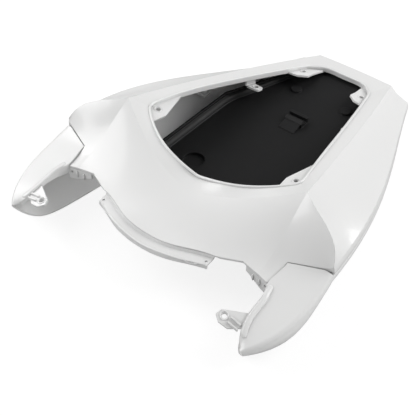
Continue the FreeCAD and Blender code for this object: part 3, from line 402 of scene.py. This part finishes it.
def add_opening_bead():
    """The small raised bead along the edge of the seat opening."""
    half = [front_lip(part) for part in even(FRONT_STEPS)]
    half += [side_lip(part) for part in even(SIDE_STEPS)[1:]]
    half += [rear_lip(1 - part) for part in even(REAR_STEPS)[1:]]
    pairs = half + [(mirrored(a), mirrored(b)) for a, b in half[-2:0:-1]]
    inner, outer = (smoothed([pair[k] for pair in pairs], BEAD_EASING) for k in (0, 1))
    stations = ring_stations(inner, outer, [1] * len(inner))
    swept("opening_bead", stations, round_profile(BEAD_WIDTH, BEAD_RISE, BEAD_SINK), "gloss_white", True)


def wall_height(y):
    """Height of the tray's wall above its floor, which falls toward the tail."""
    side_y, end_y = TRAY_CORNERS[2][1], TRAY_CORNERS[-1][1]
    past = max(0.0, (y - side_y) / (end_y - side_y))
    return along(TRAY_LIP, TRAY_END, past) - TRAY_FLOOR


def tray_outline():
    """The foot of the tray's walls in short steps, with its corners slightly eased."""
    right = [Vector((x - TRAY_WALL, y, TRAY_FLOOR)) for x, y in TRAY_CORNERS]
    right[0].y += TRAY_WALL
    right[-1].y -= TRAY_WALL
    corners = right + [mirrored(point) for point in reversed(right)]
    line = []
    for i, corner in enumerate(corners):
        after = corners[(i + 1) % len(corners)]
        line += [along(corner, after, part / TRAY_STEPS) for part in range(TRAY_STEPS)]
    return smoothed(line, 1)


def cove_profile():
    """A quarter-round hollow from the floor to the wall, and the back that stands in the wall."""
    hollow = [(COVE_RADIUS * math.sin(math.pi / 2 * part),
               COVE_RADIUS * (1 - math.cos(math.pi / 2 * part)) + COVE_LIFT) for part in even(COVE_STEPS)]
    back = COVE_RADIUS + COVE_INTO_WALL
    return hollow + [(back, COVE_RADIUS), (back, -COVE_LIFT), (0, -COVE_LIFT)]


def add_tray_cove():
    """The hollow fillet that turns the tray's floor up into its walls."""
    outer = tray_outline()
    scales = [min(1.0, wall_height(point.y) * COVE_WALL_SHARE / COVE_RADIUS) for point in outer]
    inner = []
    for point, scale in zip(outer, scales):
        inward = Vector((0, min(max(point.y, TRAY_SPINE[0]), TRAY_SPINE[1]), TRAY_FLOOR)) - point
        inner.append(point + inward.normalized() * COVE_RADIUS * scale)
    swept("tray_cove", ring_stations(inner, outer, scales), cove_profile(), "textured_black", True)


def add_catch_ramp():
    """The ramp that leads up to the seat catch."""
    profile = [(-CATCH_REACH, -CATCH_SINK), (-CATCH_REACH, CATCH_TOE), (0, CATCH_RAMP),
               (CATCH_SINK, -CATCH_SINK)]
    stations = [(Vector((x, CATCH_Y, TRAY_FLOOR)), Vector((0, 1, 0)), Vector((0, 0, 1)), 1)
                for x in (-CATCH_WIDTH / 2, 0, CATCH_WIDTH / 2)]
    ramp = swept("catch_ramp", stations, profile, "textured_black", False)
    for face in ramp.data.polygons:
        face.use_smooth = False


def ways_round():
    """Level directions at even turns all the way round."""
    turns = [math.tau * part / RING_STEPS for part in range(RING_STEPS)]
    return [Vector((math.cos(turn), math.sin(turn), 0)) for turn in turns]


def tab_plane(node, middle):
    """Place and normal of a tab, from a spot of middling height round its hole."""
    spots = [middle + way * TAB_HOLE_RADIUS * RING_PROBE for way in ways_round()]
    hits = [surface_at(node, spot.x, spot.y) for spot in spots]
    by_height = sorted((hit for hit in hits if hit), key=lambda hit: hit[0].z)
    return by_height[len(hits) // 2]


def tab_ring_stations(node, middle):
    """Stations round a tab's hole, all in the plane of the tab."""
    place, up = tab_plane(node, middle)
    stations = []
    for way in ways_round():
        across = (way - up * way.dot(up)).normalized()
        spot = middle + way * TAB_HOLE_RADIUS * RING_START
        spot.z = place.z - (up.x * (spot.x - place.x) + up.y * (spot.y - place.y)) / up.z
        stations.append((spot, across, up, 1))
    return stations


def add_tab_rings():
    """A low raised ring round each fixing hole."""
    profile = round_profile(RING_WIDTH, RING_RISE, RING_SINK)
    for number, (carrier, x, y) in enumerate(TAB_HOLES):
        for word, side in SIDES:
            node = frame["nodes"][carrier.format(side=word)]
            stations = tab_ring_stations(node, Vector((x * side, y, 0)))
            swept("%s_tab_ring_%d" % (word, number), stations, profile, "gloss_white", True)


def add_wing_bands():
    """The raised band along the inner edge of each wing."""
    profile = centred_profile(BAND_WIDTH, BAND_RISE, BAND_SINK)
    for word, side in SIDES:
        node = frame["nodes"][word + "_side_panel"]
        stations = laid_stations(node, eased(WING_EDGE[::-1], BAND_STEPS), -BAND_INSET, side)
        swept(word + "_wing_band", stations, profile, "gloss_white", False)


def add_flange_bead():
    """The rounded bead along the outer edge of the seat-side flange."""
    line = [(FLANGE_HALF * share, FLANGE_Y + FLANGE_BOW * share ** 2)
            for share in (2 * part - 1 for part in even(FLANGE_STEPS))]
    stations = laid_stations(frame["nodes"]["tail_cowl"], line, FLANGE_INSET, 1)
    profile = centred_profile(FLANGE_BEAD_WIDTH, FLANGE_BEAD_RISE, FLANGE_BEAD_SINK)
    swept("flange_bead", stations, profile, "gloss_white", False)


def add_ear_ribs():
    """Two short upright ribs on the front of the ear below each seam."""
    profile = [(-EAR_RIB_HALF, -EAR_RIB_SINK), (-EAR_RIB_HALF, EAR_RIB_DEPTH),
               (EAR_RIB_HALF, EAR_RIB_DEPTH), (EAR_RIB_HALF, -EAR_RIB_SINK)]
    for word, side in SIDES:
        for number, x in enumerate(EAR_RIBS):
            face_y = EAR_START[1] - (x - EAR_START[0]) * EAR_SLOPE
            stations = [(Vector((x * side, face_y, z)), Vector((1, 0, 0)), Vector((0, -1, 0)), scale)
                        for z, scale in EAR_RIB_STATIONS]
            swept("%s_ear_rib_%d" % (word, number), stations, profile, "gloss_white", False)


bpy.context.view_layer.update()
add_opening_bead()
add_tray_cove()
add_catch_ramp()
add_tab_rings()
add_wing_bands()
add_flange_bead()
add_ear_ribs()


# Stage, light and camera

def mixed_by_ray(tree, outputs, first, second, target):
    """The first shader, and the second where one of the named kinds of ray sees it."""
    rays = tree.nodes.new("ShaderNodeLightPath")
    seen = rays.outputs[outputs[0]]
    for output in outputs[1:]:
        either = tree.nodes.new("ShaderNodeMath")
        either.operation = "MAXIMUM"
        tree.links.new(seen, either.inputs[0])
        tree.links.new(rays.outputs[output], either.inputs[1])
        seen = either.outputs[0]
    mix = tree.nodes.new("ShaderNodeMixShader")
    tree.links.new(seen, mix.inputs["Fac"])
    tree.links.new(first, mix.inputs[1])
    tree.links.new(second, mix.inputs[2])
    tree.links.new(mix.outputs[0], target)


def floor_material():
    """Pale floor: nearly white to the eye with a faint shadow, and greyer where it lights the part."""
    material, tree, shader = new_material("pale_floor")
    shader.inputs["Base Color"].default_value = FLOOR_COLOUR
    shader.inputs["Specular IOR Level"].default_value = 0.0
    place = object_place(tree)
    uneven_roughness(tree, shader, noise(tree, place, scale=3, detail=2), low=0.82, high=0.9)
    pale = tree.nodes.new("ShaderNodeBsdfDiffuse")
    pale.inputs["Color"].default_value = FLOOR_SEEN_COLOUR
    glow = tree.nodes.new("ShaderNodeEmission")
    glow.inputs["Strength"].default_value = FLOOR_GLOW
    seen = tree.nodes.new("ShaderNodeAddShader")
    tree.links.new(pale.outputs[0], seen.inputs[0])
    tree.links.new(glow.outputs[0], seen.inputs[1])
    mixed_by_ray(tree, ["Is Camera Ray"], shader.outputs[0], seen.outputs[0],
                 tree.nodes["Material Output"].inputs["Surface"])
    return material


def add_floor():
    half = FLOOR_HALF
    mesh = bpy.data.meshes.new("floor")
    corners = [(-half, -half, 0), (half, -half, 0), (half, half, 0), (-half, half, 0)]
    mesh.from_pydata(corners, [], [(0, 1, 2, 3)])
    floor = bpy.data.objects.new("floor", mesh)
    bpy.context.scene.collection.objects.link(floor)
    floor.location.z = cad_box[0][2] - FLOOR_DROP
    mesh.materials.append(floor_material())


def add_world(level, sideways, ahead, overhead):
    """Surroundings that are pure white when seen. Their light is the level plus a share of each axis."""
    world = bpy.data.worlds.new("studio")
    bpy.context.scene.world = world
    world.use_nodes = True
    tree = world.node_tree
    light = tree.nodes["Background"]
    light.inputs["Color"].default_value = (1, 1, 1, 1)
    split = tree.nodes.new("ShaderNodeSeparateXYZ")
    tree.links.new(tree.nodes.new("ShaderNodeTexCoord").outputs["Generated"], split.inputs[0])
    total = None
    for output, share in zip(split.outputs, (sideways, ahead, overhead)):
        term = tree.nodes.new("ShaderNodeMath")
        term.operation = "MULTIPLY_ADD"
        tree.links.new(output, term.inputs[0])
        term.inputs[1].default_value = share
        term.inputs[2].default_value = level
        if total:
            tree.links.new(total, term.inputs[2])
        total = term.outputs[0]
    tree.links.new(total, light.inputs["Strength"])
    white = tree.nodes.new("ShaderNodeBackground")
    white.inputs["Color"].default_value = (1, 1, 1, 1)
    mixed_by_ray(tree, ["Is Camera Ray", "Is Transmission Ray"], light.outputs[0], white.outputs[0],
                 tree.nodes["World Output"].inputs["Surface"])


def add_soft_box(name, place, power):
    """A large square soft box that faces the part."""
    data = bpy.data.lights.new(name, "AREA")
    data.size = SOFT_BOX_WIDTH
    data.energy = power
    lamp = bpy.data.objects.new(name, data)
    bpy.context.scene.collection.objects.link(lamp)
    lamp.location = place
    lamp.rotation_euler = (SOFT_BOX_AIM - place).to_track_quat("-Z", "Y").to_euler()


def add_camera():
    data = bpy.data.cameras.new("camera")
    data.sensor_width = SENSOR_WIDTH
    data.lens = SENSOR_WIDTH * FOCAL_IN_FRAMES
    camera = bpy.data.objects.new("camera", data)
    bpy.context.scene.collection.objects.link(camera)
    camera.location = CAMERA_PLACE
    camera.rotation_euler = (math.pi / 2 - CAMERA_ELEVATION, 0, CAMERA_AZIMUTH)
    bpy.context.scene.camera = camera


add_floor()
add_world(level=0.58, sideways=0.18, ahead=-0.10, overhead=-0.30)
for box_name, box_place, box_power in SOFT_BOXES:
    add_soft_box(box_name, box_place, box_power)
add_camera()
bpy.context.scene.view_settings.view_transform = "Standard"
